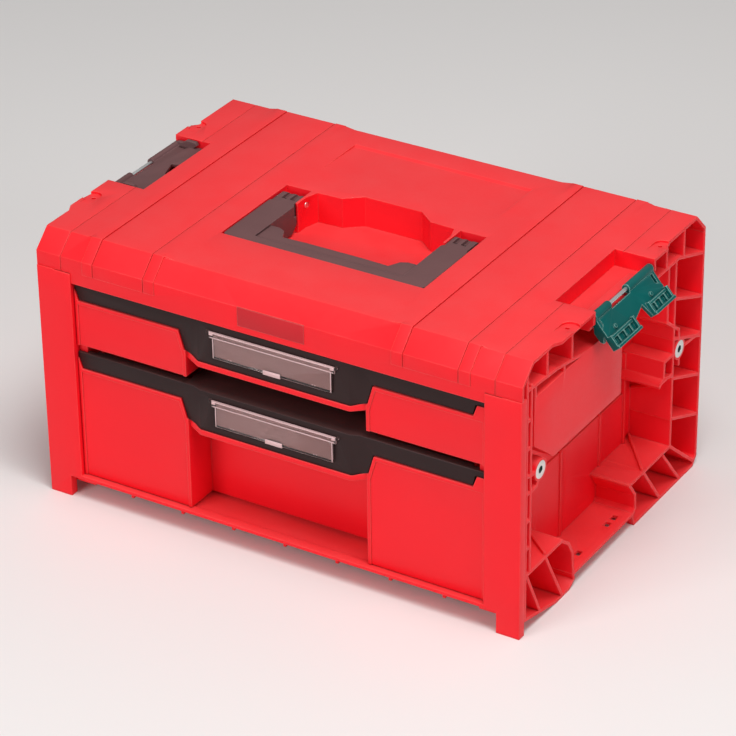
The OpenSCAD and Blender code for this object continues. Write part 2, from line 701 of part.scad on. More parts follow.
pillar_outline = [[open_x, foot_h], [half_w - foot_w, foot_h], [half_w - foot_w, 0], [half_w, 0],
    [half_w, pillar_top], [half_w - 17, pillar_top], [half_w - 17, pillar_top - 0.6],
    [open_x, pillar_top - 0.6]];

module front_frame() {
    color(red) {
        both_sides() difference() {
            along_y(-half_d, frame_y) polygon(pillar_outline);
            block([open_x + wall_t, -half_d + wall_t, rail_top + wall_t],
                [half_w - wall_t, frame_y + 1, pillar_top - 3]);
            block([half_w - foot_w + wall_t, -half_d + wall_t, wall_t],
                [half_w - wall_t, frame_y + 1, rail_top + wall_t + 1]);
        }
        block([-open_x - eps, -half_d, foot_h], [open_x + eps, frame_y, rail_top]);
    }
}

module base_tray() {
    color(red) difference() {
        union() {
            block([-inner_x, frame_y, floor_z - wall_t], [inner_x, rear_y - wall_t, floor_z]);
            // Ribs under the floor
            for (x = base_rib_x)
                block([x - half_rib, frame_y + 4, 8],
                    [x + half_rib, rear_y - wall_t, floor_z - wall_t + eps]);
            for (y = base_rib_y)
                block([-inner_x, y - half_rib, 8], [inner_x, y + half_rib, floor_z - wall_t + eps]);
            // Skid in the middle, level with the feet
            for (y = [-16, 14]) block([-40, y - half_rib, 0], [40, y + half_rib, floor_z - wall_t + eps]);
            block([-40, -16, 0], [40, 14, rib_t]);
        }
        both_sides() for (y = base_screw_y) translate([lug_x, y, 0]) {
            cylinder(r = screw_shank_r + 0.05, h = box_h);
            translate([0, 0, floor_z - 1.6]) cylinder(r = screw_head_r + 0.05, h = 3);
        }
    }
}

module base_screws() {
    color("#b5b5b5") both_sides() for (y = base_screw_y)
        translate([lug_x, y, floor_z]) screw(screw_head_r, screw_shank_r, base_screw_len);
}

module back_panel() {
    color(red) difference() {
        union() {
            block([-inner_x, rear_y - wall_t, floor_z - wall_t], [inner_x, rear_y, cap_z + 8]);
            for (x = [-inner_x + half_rib, for (i = [-2 : 2]) i * 0.3 * inner_x, inner_x - half_rib])
                block([x - half_rib, rear_y - eps, floor_z - wall_t], [x + half_rib, half_d, cap_z - 0.3]);
            for (z = [floor_z - wall_t + half_rib, 0.32 * cap_z, 0.58 * cap_z, 0.8 * cap_z,
                cap_z - 0.3 - half_rib])
                block([-inner_x, rear_y - eps, z - half_rib], [inner_x, half_d, z + half_rib]);
            for (p = back_screw_points) translate([p[0], rear_y - eps, p[1]]) rotate([-90, 0, 0])
                cylinder(r = screw_head_r + 2, h = wall_t - 0.4);
        }
        for (p = back_screw_points) translate([p[0], 0, p[1]]) rotate([-90, 0, 0]) {
            cylinder(r = screw_shank_r + 0.05, h = box_d);
            translate([0, 0, half_d - 2]) cylinder(r = screw_head_r + 0.05, h = 3);
        }
    }
}

back_screw_points = [for (s = [-1, 1], z = back_screw_z) [s * lug_x, z]];

module back_screws() {
    color("#b5b5b5") for (p = back_screw_points)
        translate([p[0], half_d - 0.4, p[1]]) rotate([-90, 0, 0])
            screw(screw_head_r, screw_shank_r, back_screw_len);
}

// ---------------------------------------------------------------- guide rails

// Underside of the runner flange of a drawer whose front ends at z_top
function flange_z(z_top) = z_top - rim_drop - flange_drop;

module guide_rail(fz) {
    rail_x = tub_x + 0.8;
    slot_low = fz - slide_gap;
    slot_high = fz + flange_t + slide_gap;
    difference() {
        block([rail_x, frame_y + 3.4, slot_low - 3], [inner_x, tub_back + 1, slot_high + 3]);
        block([rail_x - 1, frame_y, slot_low], [tub_x + 6, box_d, slot_high]);
    }
    // Stop that catches the block on the drawer at full travel
    stop_y = tub_back - 8 - travel - 0.3;
    block([rail_x, stop_y - 4, fz - 12.5], [inner_x, stop_y, slot_low - 3 + eps]);
}

module guide_rails() {
    for (z = [upper_top, lower_top]) guide_rail(flange_z(z));
}

module right_guide_rails() { color("#202020") guide_rails(); }
module left_guide_rails() { color("#202020") mirror([1, 0, 0]) guide_rails(); }

// ---------------------------------------------------------------- drawers

tub_outline = [[tub_x, tub_y], [tub_x, tub_back], [-tub_x, tub_back], [-tub_x, tub_y],
    [-niche_x, tub_y], [-niche_x, niche_y], [niche_x, niche_y], [niche_x, tub_y]];
tub_cavity = [[tub_x - tub_t, tub_y + tub_t], [tub_x - tub_t, tub_back - tub_t],
    [-tub_x + tub_t, tub_back - tub_t], [-tub_x + tub_t, tub_y + tub_t],
    [-niche_x - tub_t, tub_y + tub_t], [-niche_x - tub_t, niche_y + tub_t],
    [niche_x + tub_t, niche_y + tub_t], [niche_x + tub_t, tub_y + tub_t]];
grip_screw_x = [niche_x + 27.4, tub_x - 17];
ear_w = 3.5;                                // foot of the narrow ear of the left panel

// Elevation of one red panel: it steps down from the strip to the grip
// (the right panel ends in a broad ear beside the strip, the left one in a narrow ear)
function panel_outline(z0, z1, broad) = let (sz = z1 - strip_h) concat(
    [[niche_x, z0], [front_x, z0], [front_x, sz + 10]],
    broad ? [[strip_x + 1, sz + 10], [strip_x - 2.5, sz]] : [[front_x - ear_w, sz]],
    [[niche_x + 6.4, sz], [niche_x + 1.4, sz - 17], [niche_x, sz - 17.5]]);
function panel_face(z0, z1) = let (sz = z1 - strip_h) [
    [niche_x + 3, z0 - 1], [front_x - 2.6, z0 - 1], [front_x - 2.6, sz - 3.2],
    [niche_x + 8.6, sz - 3.2], [niche_x + 4.4, sz - 17], [niche_x + 3, sz - 22]];

// Elevation of the lip under the grip
function lip_outline(z1) = let (gz = z1 - grip_h, ez = z1 - strip_h - 17) [
    [-niche_x - 1.4, ez], [-grip_x - 1.5, gz], [grip_x + 1.5, gz], [niche_x + 1.4, ez],
    [niche_x + 1.4, ez - lip_t - 2], [grip_x + 1.5, gz - lip_t],
    [-grip_x - 1.5, gz - lip_t], [-niche_x - 1.4, ez - lip_t - 2]];

// Plan of the band that follows the grip, from its face back by a depth
function grip_band(f, depth, end_x) = [
    [-end_x, strip_y + f], [-niche_x - 0.7, strip_y + f], [-grip_x, grip_y + f], [grip_x, grip_y + f],
    [niche_x + 0.7, strip_y + f], [end_x, strip_y + f], [end_x, strip_y + f + depth],
    [niche_x + 0.7, strip_y + f + depth], [grip_x, grip_y + f + depth],
    [-grip_x, grip_y + f + depth], [-niche_x - 0.7, strip_y + f + depth], [-end_x, strip_y + f + depth]];

// Elevation of the face of the strip on one side, from the slant of the grip to an end
function strip_face(z1, end) = let (sz = z1 - strip_h) concat(
    [[niche_x + 0.4, sz - 17], [niche_x + 5.6, sz + 1]], end,
    [[grip_x + 7.4, z1], [grip_x + 7.4, sz - 19.7]]);

// Elevation of the dark strip with the grip in its middle
function grip_outline(z1) = let (sz = z1 - strip_h, gz = z1 - grip_h) [
    [-strip_x - 1, z1], [-strip_x - 1, sz + 10], [-strip_x + 2.5, sz], [-niche_x - 6.4, sz],
    [-niche_x - 1.4, sz - 17], [-grip_x - 1.5, gz], [grip_x + 1.5, gz], [niche_x + 1.4, sz - 17],
    [niche_x + 6.4, sz], [strip_x - 2.5, sz], [strip_x + 1, sz + 10], [strip_x + 1, z1]];

module grip_screw_holes(z1, r) {
    both_sides() for (x = grip_screw_x) translate([x, 0, z1 - strip_h / 2]) rotate([90, 0, 0])
        translate([0, 0, 2.2 - tub_y]) mirror([0, 0, 1]) cylinder(r = r, h = 12);
}

module drawer_tub(z0, z1) {
    rim = z1 - rim_drop;
    sz = z1 - strip_h;
    fz = flange_z(z1);
    difference() {
        union() {
            difference() {
                translate([0, 0, z0]) linear_extrude(rim - z0) polygon(tub_outline);
                translate([0, 0, z0 + tub_t]) linear_extrude(rim) polygon(tub_cavity);
            }
            for (side = [0, 1]) mirror([side, 0, 0]) difference() {
                along_y(ledge_y, panel_back) polygon(panel_outline(z0, z1, side == 0));
                along_y(ledge_y - 1, panel_y) polygon(panel_face(z0, z1));
            }
            both_sides() {
                // Ledges from the panel back to the tub
                block([niche_x + 6.4, panel_back - eps, sz - 3.2], [tub_x, tub_y + eps, sz]);
                block([niche_x, panel_back - eps, z0], [niche_x + 3, tub_y + eps, sz - 17.5]);
                block([tub_x - 3, panel_back - eps, z0], [tub_x, tub_y + eps, sz]);
                // Runner flange and stop block
                block([tub_x - eps, tub_y + 2, fz], [tub_x + 5.5, tub_back, fz + flange_t]);
                block([tub_x - eps, tub_back - 8, fz - 11.5], [tub_x + 5.5, tub_back - 2, fz - 4.5]);
            }
            // Lip under the grip
            intersection() {
                along_y(-half_d, tub_y) polygon(lip_outline(z1));
                translate([0, 0, z0]) linear_extrude(z1) polygon(grip_band(-0.9, 5.4, niche_x + 1.4));
            }
        }
        grip_screw_holes(z1, screw_shank_r + 0.05);
    }
}

module grip(z1) {
    sz = z1 - strip_h;
    hinge_z = z1 - label_drop - 0.6;
    difference() {
        union() {
            intersection() {
                along_y(-half_d, tub_y) polygon(grip_outline(z1));
                translate([0, 0, z1 - grip_h - 1]) linear_extrude(grip_h + 2)
                    polygon(grip_band(0, grip_t, strip_x + 1));
            }
            // Face of the strip, nearly level with the ledges, with a fine gap below it
            both_sides() along_y(panel_y, strip_y + eps)
                polygon(strip_face(z1, [[strip_x - 3.3, sz + 1], [strip_x - 1, sz + 10], [strip_x - 1, z1]]));
            mirror([1, 0, 0]) along_y(panel_y, panel_back) polygon(strip_face(z1,
                [[front_x - ear_w - 0.9, sz + 1], [front_x - 0.6, sz + 10.5], [front_x - 0.6, z1]]));
            // Slivers over the ends of the panels
            both_sides() block([strip_x - 3, panel_y, sz + 10], [front_x, panel_back, z1]);
            both_sides() block([strip_x - 3, panel_y, sz + 10], [strip_x, tub_y, z1]);
            // Flange over the rim of the tub
            translate([0, 0, z1 - rim_drop]) linear_extrude(rim_drop) polygon([
                [-tub_x, strip_y + 0.5], [-niche_x - 0.7, strip_y + 0.5], [-grip_x, grip_y + 0.5],
                [grip_x, grip_y + 0.5], [niche_x + 0.7, strip_y + 0.5], [tub_x, strip_y + 0.5],
                [tub_x, tub_y + tub_t], [niche_x + tub_t, tub_y + tub_t],
                [niche_x + tub_t, niche_y + tub_t], [-niche_x - tub_t, niche_y + tub_t],
                [-niche_x - tub_t, tub_y + tub_t], [-tub_x, tub_y + tub_t]]);
            // Ears of the label cover
            both_sides() block([label_x + 3.4, -half_d, hinge_z - 1.4],
                [label_x + 5.6, grip_y + 1, hinge_z + 1.4]);
        }
        // Seat of the label card
        block([-label_x, -box_d, hinge_z - label_h + 0.8], [label_x, grip_y + card_t + 0.3, hinge_z - 0.6]);
        both_sides() translate([label_x, label_y, hinge_z]) rotate([0, 90, 0])
            cylinder(r = label_pin_r + 0.05, h = 8);
        grip_screw_holes(z1, screw_shank_r);
    }
}

module grip_screws(z1) {
    // Driven from inside the tub through its front wall into the strip
    both_sides() for (x = grip_screw_x)
        translate([x, tub_y + tub_t + 1.6, z1 - strip_h / 2]) rotate([-90, 0, 0])
            screw(screw_head_r, screw_shank_r, tub_t + 1.6 + 2.2);
}

module label_card(z1) {
    hinge_z = z1 - label_drop - 0.6;
    block([-label_x + 0.5, grip_y + 0.3, hinge_z - label_h + 1.3],
        [label_x - 0.5, grip_y + 0.3 + card_t, hinge_z - 1.1]);
}

module label_cover(z1) {
    hinge_z = z1 - label_drop - 0.6;
    half = label_t / 2;
    // Window, thicker top strip, finger catch and hinge pins
    block([-label_x, label_y - half, hinge_z - label_h], [label_x, label_y + half, hinge_z - 4]);
    block([-label_x - 3, label_y - half, hinge_z - 5.2], [label_x + 3, label_y + half, hinge_z + 0.6]);
    block([-8, label_y - half - 0.35, hinge_z - label_h - 1], [8, label_y + half, hinge_z - label_h + 3]);
    both_sides() translate([label_x + 2.9, label_y, hinge_z]) rotate([0, 90, 0])
        cylinder(r = label_pin_r, h = 2.6);
}

module upper_drawer_tub() { color(red) drawer_tub(upper_z, upper_top); }
module lower_drawer_tub() { color(red) drawer_tub(lower_z, lower_top); }
module upper_grip() { color(dark) grip(upper_top); }
module lower_grip() { color(dark) grip(lower_top); }
module upper_grip_screws() { color("#b5b5b5") grip_screws(upper_top); }
module lower_grip_screws() { color("#b5b5b5") grip_screws(lower_top); }
module upper_label_card() { color("#f0ece4") label_card(upper_top); }
module lower_label_card() { color("#f0ece4") label_card(lower_top); }
module upper_label_cover() { color("#b9a9a9", 0.6) label_cover(upper_top); }
module lower_label_cover() { color("#b9a9a9", 0.6) label_cover(lower_top); }

// ---------------------------------------------------------------- handle

module handle_bail() {
    color(brown) difference() {
        union() {
            translate([0, 0, handle_z]) linear_extrude(handle_t) {
                translate([0, -handle_front_y + bar_d / 2]) square([2 * handle_x - 8, bar_d], center = true);
                for (s = [-1, 1])
                    translate([s * (handle_x + arm_x) / 2, (arm_end_y - 1.8 - handle_front_y) / 2])
                        rounded_rect(arm_w, handle_front_y + arm_end_y - 1.8, 4);
                for (s = [-1, 1]) translate([s * (root_in + root_w / 2), (pivot_y - 10) / 2])
                    square([root_w, pivot_y + 10], center = true);
            }
            both_sides() {
                translate([root_in, pivot_y, pivot_z]) rotate([0, 90, 0])
                    cylinder(r = handle_t / 2, h = root_w);
                // Deep inner flange of the arm, beside the well
                along_x(arm_x, arm_x + wall_t) polygon([[-pad_back + 8, handle_z + 2],
                    [-pad_back + 12, handle_top - 21], [-pad_back + 16, handle_top - 24],
                    [arm_end_y - 8, handle_top - 24], [arm_end_y - 1.5, handle_top - 18],
                    [arm_end_y - 1.5, handle_z + 2]]);
            }
        }
        both_sides() translate([arm_x, pivot_y, pivot_z]) rotate([0, 90, 0])
            cylinder(r = handle_pin_r + 0.05, h = arm_w + 2);
        // Two core slots in the root of each arm, deep in front of the pin and low behind it
        both_sides() for (x = [arm_x + 5.2, arm_x + 13]) {
            block([x, 0, handle_top - 9], [x + 5.2, pivot_y - handle_pin_r - 1, handle_top + 1]);
            block([x, 0, handle_top - 2.6], [x + 5.2, pivot_y + handle_t, handle_top + 1]);
        }
    }
}

// Plan of the grip pad, widened towards the arms
pad_outline = mirrored([[arm_x - 0.6, -handle_front_y + bar_d + 0.4], [arm_x - 0.6, -pad_back + 12],
    [arm_x - 9, -pad_back + 12], [arm_x - 15, -pad_back + 9], [arm_x - 20, -pad_back - 1], [28, -pad_back]]);

module handle_grip_pad() {
    color(brown) {
        translate([0, 0, handle_z + 0.5]) linear_extrude(handle_t - 1.7) polygon(pad_outline);
        // Keys in the sides of the arms and the rear of the bar
        both_sides() block([arm_x - 1.2, -handle_front_y + bar_d + 2, handle_z + 3],
            [arm_x, -pad_back + 6, handle_z + 8]);
        block([-50, -handle_front_y + bar_d, handle_z + 3], [50, -handle_front_y + bar_d + 1, handle_z + 8]);
    }
}

module handle_pins() {
    color("#d8d8d8") both_sides() translate([arm_x - 1, pivot_y, pivot_z]) rotate([0, 90, 0])
        cylinder(r = handle_pin_r, h = pocket_x + 1.5 - arm_x + 1);
}

// ---------------------------------------------------------------- latches

// A latch about its pin: u runs from the pin to the hooks, v is the face that is up when stowed
barrel_spans = [[-latch_y, -0.48 * latch_y], [0.15 * latch_y, latch_y]];
lobe_spans = [[-latch_y, -0.2 * latch_y], [0.32 * latch_y, latch_y]];
latch_half_t = latch_t / 2;

// Plan of the plate, with the two lobes and the notch between them
latch_plan = [[barrel_r + 0.6, -latch_y + 4], [latch_reach * 0.3, -latch_y + 4],
    [latch_reach * 0.38, -latch_y], [latch_reach, -latch_y], [latch_reach, lobe_spans[0][1]],
    [latch_reach * 0.76, -0.14 * latch_y], [latch_reach * 0.58, 0.24 * latch_y],
    [latch_reach, lobe_spans[1][0]], [latch_reach, latch_y], [latch_reach * 0.5, latch_y],
    [latch_reach * 0.38, latch_y - 7], [barrel_r + 0.6, latch_y - 7]];

module latch() {
    difference() {
        union() {
            translate([0, 0, -latch_half_t]) linear_extrude(latch_t) polygon(latch_plan);
            // Barrel in two lengths, with the pin open to view between them
            for (y = barrel_spans) {
                translate([0, y[0], 0]) rotate([-90, 0, 0]) cylinder(r = barrel_r, h = y[1] - y[0]);
                block([0, y[0], -latch_half_t], [barrel_r + 1, y[1], latch_half_t]);
            }
            for (y = lobe_spans) {
                // Hook along the edge of the lobe, with a ridge and end walls that make a cup
                block([latch_reach - 2.4, y[0], -6.2], [latch_reach, y[1], latch_half_t]);
                block([latch_reach - 11, y[0] + 3, -3.6], [latch_reach - 8.6, y[1] - 3, 0]);
                for (y0 = [y[0], y[1] - 2])
                    block([latch_reach - 12, y0, -5], [latch_reach, y0 + 2, 0]);
                // Fins in the cup, and a stud beside it
                for (i = [1 : 3]) let (y0 = y[0] + i * (y[1] - y[0]) / 4)
                    block([latch_reach - 9, y0 - 0.6, -4], [latch_reach - 2, y0 + 0.6, 0]);
                translate([latch_reach - 15, (y[0] + y[1]) / 2 - 4, -3]) cylinder(r = 1.8, h = 3);
            }
            // Fins at the two ends of the barrel
            for (y0 = [-latch_y, latch_y - 3.4]) translate([0, y0 + 3.4, 0]) rotate([90, 0, 0])
                linear_extrude(3.4) polygon([[-2.6, 2.4], [2, 4.4], [7, 4.6], [11, 7.4], [20, 7.4],
                    [22, 5], [17, 1], [17, -1.2], [4.2, -1.5], [0, -3.4]]);
        }
        translate([0, -latch_y - 1, 0]) rotate([-90, 0, 0])
            cylinder(r = latch_pin_r + 0.05, h = 2 * latch_y + 2);
    }
}

latch_pin_half = pocket_half + wall_t - 1;

module latch_pin() {
    translate([latch_x, latch_mid_y - latch_pin_half, latch_z]) rotate([-90, 0, 0])
        cylinder(r = latch_pin_r, h = 2 * latch_pin_half);
}

module left_latch_pin() { color("#d8d8d8") mirror([1, 0, 0]) latch_pin(); }
module right_latch_pin() { color("#d8d8d8") latch_pin(); }

// Stowed flat in its pocket
module left_latch() {
    color(brown) translate([-latch_x, latch_mid_y, latch_z]) latch();
}

// Opened, hanging outwards
module right_latch() {
    color(teal) translate([latch_x, latch_mid_y, latch_z]) rotate([0, latch_open_angle, 0])
        mirror([0, 0, 1]) latch();
}

top_cover();
left_side_shell();
right_side_shell();
front_frame();
base_tray();
back_panel();
left_guide_rails();
right_guide_rails();
boss_screws();
back_screws();
base_screws();
handle_pins();
left_latch_pin();
right_latch_pin();
bare_plate();
upper_drawer_tub();
upper_grip();
upper_grip_screws();
upper_label_card();
upper_label_cover();
lower_drawer_tub();
lower_grip();
lower_grip_screws();
lower_label_card();
lower_label_cover();
handle_bail();
handle_grip_pad();
left_latch();
right_latch();
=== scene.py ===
# %% [markdown]
# # A portable tool box with two drawers
#
# The box has a red moulded housing, two drawers with dark grips, a handle that folds flat
# into the cover and a latch on each side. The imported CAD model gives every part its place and
# its motion. This lesson rounds the edges of the mouldings, adds the small forms that the
# solids leave out, and gives each part a finish that is made only of shader nodes.

# %% Load the frame
import json
import math

import bpy
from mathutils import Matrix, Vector

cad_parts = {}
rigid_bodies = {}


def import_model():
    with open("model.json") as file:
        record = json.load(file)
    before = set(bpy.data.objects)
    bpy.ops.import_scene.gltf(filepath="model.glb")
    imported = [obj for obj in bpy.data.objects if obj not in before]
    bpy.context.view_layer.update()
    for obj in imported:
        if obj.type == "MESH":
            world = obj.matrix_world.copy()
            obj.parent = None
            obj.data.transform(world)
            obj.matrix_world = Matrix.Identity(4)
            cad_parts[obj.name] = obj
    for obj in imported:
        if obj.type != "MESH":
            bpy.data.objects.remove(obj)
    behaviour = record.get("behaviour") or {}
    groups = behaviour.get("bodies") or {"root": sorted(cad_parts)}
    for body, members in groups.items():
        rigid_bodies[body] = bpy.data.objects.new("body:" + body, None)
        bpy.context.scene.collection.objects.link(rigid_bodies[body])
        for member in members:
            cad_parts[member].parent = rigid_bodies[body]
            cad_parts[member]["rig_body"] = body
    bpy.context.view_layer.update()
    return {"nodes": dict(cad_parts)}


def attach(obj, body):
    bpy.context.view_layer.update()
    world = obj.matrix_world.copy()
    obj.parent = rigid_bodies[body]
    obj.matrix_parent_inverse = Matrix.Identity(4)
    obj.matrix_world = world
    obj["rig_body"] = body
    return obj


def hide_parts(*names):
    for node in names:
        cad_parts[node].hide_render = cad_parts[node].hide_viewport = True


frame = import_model()
MM = 0.001

# %% [markdown]
# ## Camera, floor and light
#
# A long lens keeps the verticals of the box nearly parallel, where a wide lens close by would
# make the near corner loom. The floor is a pale sheet that catches the shadow. Small lamps
# would draw hard shadows in every rib, so three large soft ones light the deck most, then the
# front, then the ribs in the sides.

# %% Camera
LONG_LENS = 166.304
CAMERA_PLACE = (1.28422, -2.09563, 1.50218)
CAMERA_TURN = (60.383, 0.692, 31.223)

camera_data = bpy.data.cameras.new("studio_camera")
camera_data.lens = LONG_LENS
camera = bpy.data.objects.new("studio_camera", camera_data)
camera.location = CAMERA_PLACE
camera.rotation_euler = [math.radians(angle) for angle in CAMERA_TURN]
bpy.context.scene.collection.objects.link(camera)
bpy.context.scene.camera = camera
bpy.context.scene.view_settings.view_transform = "Standard"


# %% Helpers for selection and modifiers
SMOOTH_ANGLE = math.radians(40)


def pick(piece):
    """Leaves one object selected and active, which the operators then act on."""
    bpy.ops.object.select_all(action="DESELECT")
    piece.select_set(True)
    bpy.context.view_layer.objects.active = piece
    return piece


def apply_all(piece):
    """Applies the modifiers of a piece from the first to the last."""
    pick(piece)
    for modifier in list(piece.modifiers):
        bpy.ops.object.modifier_apply(modifier=modifier.name)
    return piece


def settle(piece):
    """Puts the place of a piece into its mesh, so that its object sits at the origin."""
    pick(piece)
    bpy.ops.object.transform_apply(location=True, rotation=True, scale=True)
    return piece


# %% Floor
bpy.ops.object.select_all(action="DESELECT")
bpy.ops.mesh.primitive_plane_add(size=14, location=(0, 0, 0))
floor = bpy.context.object
floor.name = "floor"
floor_paint = bpy.data.materials.new("floor_paint")
floor_paint.use_nodes = True
floor_shader = floor_paint.node_tree.nodes["Principled BSDF"]
floor_shader.inputs["Base Color"].default_value = (0.82, 0.80, 0.79, 1)
floor_shader.inputs["Roughness"].default_value = 0.6
floor.data.materials.append(floor_paint)


# %% Lamps and world
def soft_lamp(name, place, target, size, power):
    """A square area lamp of a size in metres and a power in watts that faces a point."""
    data = bpy.data.lights.new(name, "AREA")
    data.size = size
    data.energy = power
    lamp = bpy.data.objects.new(name, data)
    lamp.location = place
    lamp.rotation_euler = (Vector(target) - Vector(place)).to_track_quat("-Z", "Y").to_euler()
    bpy.context.scene.collection.objects.link(lamp)
    return lamp


BOX_MIDDLE = (0, 0, 0.1)
soft_lamp("lamp_above", (0.7, -0.5, 2.5), BOX_MIDDLE, 1.1, 42)
soft_lamp("lamp_front", (-0.9, -3.0, 1.5), BOX_MIDDLE, 1.4, 42)
soft_lamp("lamp_right", (2.7, -0.9, 1.7), (0.2, 0, 0.1), 1.0, 17)

world = bpy.data.worlds.new("studio_world")
bpy.context.scene.world = world
world.use_nodes = True
world.node_tree.nodes["Background"].inputs["Color"].default_value = (1.0, 0.99, 0.98, 1)
world.node_tree.nodes["Background"].inputs["Strength"].default_value = 0.27

# %% [markdown]
# ## Shader groups that the finishes share
#
# A moulded surface is never quite smooth: spark erosion leaves a fine grain in the mould, the
# melt leaves soft clouds of tone, corners wear pale and get a painted highlight, grooves get
# painted shade, and dust settles on what faces up, which a painted sheen makes paler too.
# The nodes could be written out in every material, but then each change would be made many
# times. So each effect is one node group with named inputs, and every material uses it with
# values of its own.


# %% Group helper
def new_group(name, inputs, outputs):
    """An empty shader group with float inputs {name: default} and outputs {name: kind}."""
    group = bpy.data.node_groups.new(name, "ShaderNodeTree")
    for label, value in inputs.items():
        socket = group.interface.new_socket(label, in_out="INPUT", socket_type="NodeSocketFloat")
        socket.default_value = value
    for label, kind in outputs.items():
        group.interface.new_socket(label, in_out="OUTPUT", socket_type=kind)
    nodes = group.nodes
    return group, nodes.new("NodeGroupInput"), nodes.new("NodeGroupOutput")


def math_node(tree, operation, first, second=None, clamp=False):
    """A Math node whose operands are numbers or output sockets."""
    node = tree.nodes.new("ShaderNodeMath")
    node.operation = operation
    node.use_clamp = clamp
    for index, operand in enumerate((first, second)):
        if operand is None:
            continue
        if isinstance(operand, (int, float)):
            node.inputs[index].default_value = operand
        else:
            tree.links.new(operand, node.inputs[index])
    return node.outputs[0]


def noise(tree, scale, detail, roughness=0.55, vector=None):
    """A Noise texture on Object coordinates, or on the coordinates that are given."""
    node = tree.nodes.new("ShaderNodeTexNoise")
    node.inputs["Detail"].default_value = detail
    node.inputs["Roughness"].default_value = roughness
    if vector is None:
        vector = tree.nodes.new("ShaderNodeTexCoord").outputs["Object"]
    tree.links.new(vector, node.inputs["Vector"])
    if isinstance(scale, (int, float)):
        node.inputs["Scale"].default_value = scale
    else:
        tree.links.new(scale, node.inputs["Scale"])
    return node.outputs["Fac"]


# %% Grain
grain_group, grain_in, grain_out = new_group(
    "mould_grain", {"Scale": 900.0, "Cloud Scale": 14.0},
    {"Height": "NodeSocketFloat", "Clouds": "NodeSocketFloat"})
fine = noise(grain_group, grain_in.outputs["Scale"], 2.0)
coarse_scale = math_node(grain_group, "MULTIPLY", grain_in.outputs["Scale"], 0.23)
coarse = noise(grain_group, coarse_scale, 3.0)
mixed = math_node(grain_group, "ADD", math_node(grain_group, "MULTIPLY", fine, 0.6),
                  math_node(grain_group, "MULTIPLY", coarse, 0.4))
grain_group.links.new(mixed, grain_out.inputs["Height"])
soft_clouds = noise(grain_group, grain_in.outputs["Cloud Scale"], 3.0)
grain_group.links.new(soft_clouds, grain_out.inputs["Clouds"])

# %% Edge wear and painted highlight
# Pale edges, partly wear and partly a painted highlight: where the Bevel normal turns away from the
# true normal, the mask pales the colour.
wear_and_highlight_group, wear_and_highlight_in, wear_and_highlight_out = new_group(
    "edge_wear_and_highlight", {"Width": 0.001, "Breakup": 60.0},
    {"Mask": "NodeSocketFloat", "Normal": "NodeSocketVector"})
bevel = wear_and_highlight_group.nodes.new("ShaderNodeBevel")
bevel.samples = 4
geometry = wear_and_highlight_group.nodes.new("ShaderNodeNewGeometry")
dot = wear_and_highlight_group.nodes.new("ShaderNodeVectorMath")
dot.operation = "DOT_PRODUCT"
wear_and_highlight_group.links.new(wear_and_highlight_in.outputs["Width"], bevel.inputs["Radius"])
wear_and_highlight_group.links.new(bevel.outputs["Normal"], dot.inputs[0])
wear_and_highlight_group.links.new(geometry.outputs["Normal"], dot.inputs[1])
turn = math_node(wear_and_highlight_group, "SUBTRACT", 1.0, dot.outputs["Value"], clamp=True)
patches = math_node(wear_and_highlight_group, "ADD", noise(wear_and_highlight_group, wear_and_highlight_in.outputs["Breakup"], 3.0), 0.25)
strong_turn = math_node(wear_and_highlight_group, "MULTIPLY", turn, 5.0)
worn_and_painted_light = math_node(wear_and_highlight_group, "MULTIPLY", strong_turn, patches, clamp=True)
wear_and_highlight_group.links.new(worn_and_painted_light, wear_and_highlight_out.inputs["Mask"])
wear_and_highlight_group.links.new(bevel.outputs["Normal"], wear_and_highlight_out.inputs["Normal"])

# %% Painted shade in grooves
groove_shade_group, groove_shade_in, groove_shade_out = new_group(
    "groove_shade", {"Reach": 0.002}, {"Mask": "NodeSocketFloat"})
# Painted shade: where the Ambient Occlusion is low, in grooves and inner corners, the mask darkens the
# colour.
occlusion = groove_shade_group.nodes.new("ShaderNodeAmbientOcclusion")
occlusion.samples = 8
groove_shade_group.links.new(groove_shade_in.outputs["Reach"], occlusion.inputs["Distance"])
OPEN_SHARE = 0.85
closed = math_node(groove_shade_group, "SUBTRACT", OPEN_SHARE, occlusion.outputs["AO"])
doubled = math_node(groove_shade_group, "MULTIPLY", closed, 2.0, clamp=True)
groove_shade_group.links.new(doubled, groove_shade_out.inputs["Mask"])

# %% Dust and painted sheen
# Faces that point up turn paler and greyer, partly as dust and partly as a painted sheen of the light
# from above.
dust_and_sheen_group, dust_and_sheen_in, dust_and_sheen_out = new_group(
    "resting_dust_and_sheen", {"Amount": 0.3, "Scale": 30.0}, {"Mask": "NodeSocketFloat"})
geometry = dust_and_sheen_group.nodes.new("ShaderNodeNewGeometry")
split = dust_and_sheen_group.nodes.new("ShaderNodeSeparateXYZ")
dust_and_sheen_group.links.new(geometry.outputs["Normal"], split.inputs[0])
STEEPEST_UPWARD = 0.6
level = math_node(dust_and_sheen_group, "SUBTRACT", split.outputs["Z"], STEEPEST_UPWARD)
upward = math_node(dust_and_sheen_group, "MULTIPLY", level, 2.5, clamp=True)
specks = noise(dust_and_sheen_group, dust_and_sheen_in.outputs["Scale"], 6.0, 0.65)
flecks = math_node(dust_and_sheen_group, "ADD", math_node(dust_and_sheen_group, "MULTIPLY", specks, 0.5), 0.25)
speckle = math_node(dust_and_sheen_group, "MULTIPLY", flecks, upward)
dust_and_sheen_mask = math_node(dust_and_sheen_group, "MULTIPLY", speckle, dust_and_sheen_in.outputs["Amount"], clamp=True)
dust_and_sheen_group.links.new(dust_and_sheen_mask, dust_and_sheen_out.inputs["Mask"])
print("groups:", sorted(g.name for g in bpy.data.node_groups))

